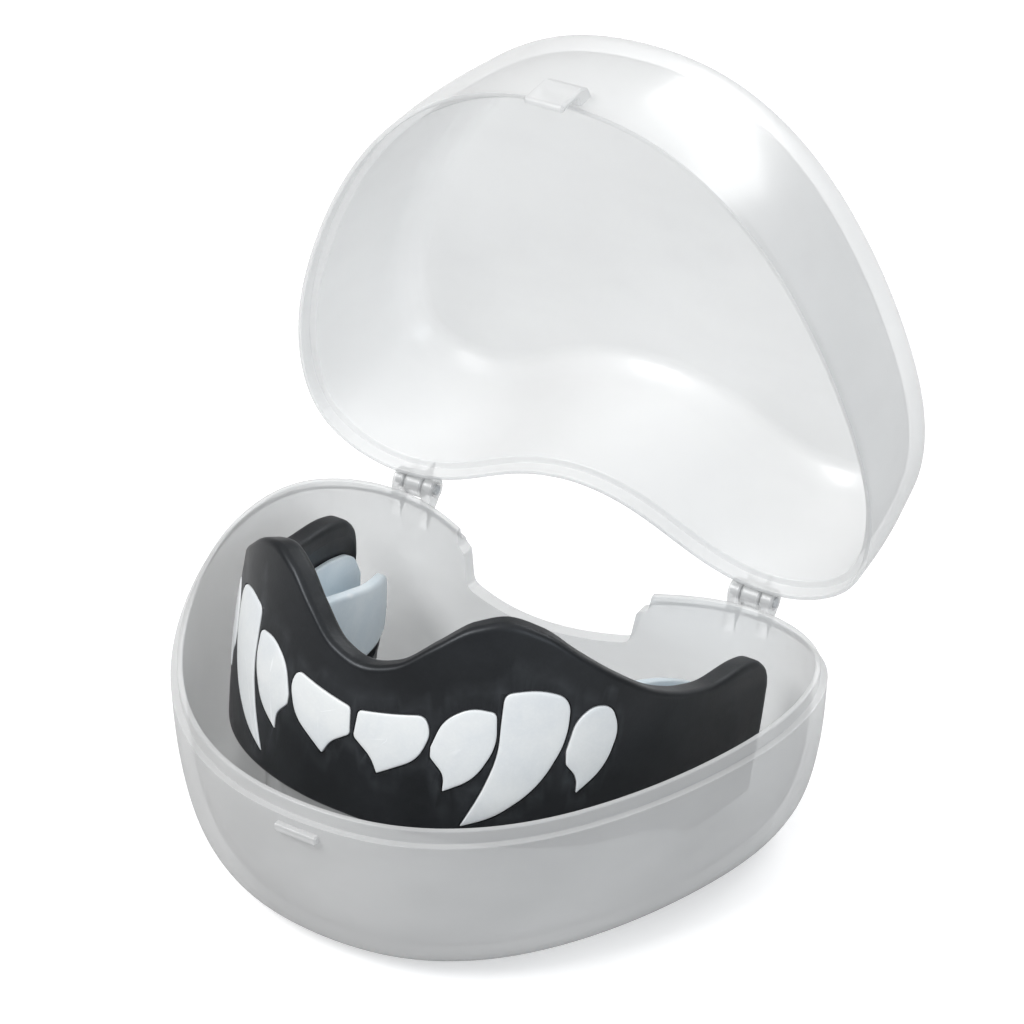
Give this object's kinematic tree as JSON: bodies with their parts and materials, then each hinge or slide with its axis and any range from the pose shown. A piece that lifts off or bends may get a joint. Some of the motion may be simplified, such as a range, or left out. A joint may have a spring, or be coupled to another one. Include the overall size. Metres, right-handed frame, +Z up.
{
  "type": "mouthguard with case",
  "caption": "Boxing mouthguard with pointed tooth inlays and zigzag bite grooves, lying in a clear kidney-shaped case with a hinged lid.",
  "frame": {"origin": "middle of the case's underside, on the plane it rests on", "axes": "+Z up, -Y towards the front of the case, where the latch and the front of the guard are, +X to the right seen from the front"},
  "size_m": [0.0828, 0.0869, 0.0912],
  "materials": {
    "clear_base": "frosted clear",
    "clear_lid": "frosted clear",
    "hinge_pin": "natural",
    "black_eva": "satin",
    "pale_liner": "satin",
    "grey_core": "matte",
    "fang_inlay": "satin"
  },
  "bodies": {
    "base": {"case_base": "clear_base", "hinge_pin_left": "hinge_pin", "hinge_pin_right": "hinge_pin"},
    "lid": {"case_lid": "clear_lid"},
    "guard": {"guard_outer_shell": "black_eva", "guard_inner_liner": "pale_liner", "bite_core_front": "grey_core", "bite_core_left": "grey_core", "bite_core_right": "grey_core", "fang_central_left": "fang_inlay", "fang_central_right": "fang_inlay", "fang_lateral_left": "fang_inlay", "fang_lateral_right": "fang_inlay", "fang_canine_left": "fang_inlay", "fang_canine_right": "fang_inlay", "fang_outer_left": "fang_inlay", "fang_outer_right": "fang_inlay"}
  },
  "joints": [
    {"name": "lid_hinge", "type": "hinge", "parent": "base", "child": "lid", "pos_m": [0, 0.0337, 0.0241], "axis": [-1, 0, 0], "range_deg": [-85, 37]},
    {"name": "guard_lift", "type": "slide", "parent": "base", "child": "guard", "axis": [0, 0, 1], "range_m": [0, 0.06]}
  ]
}
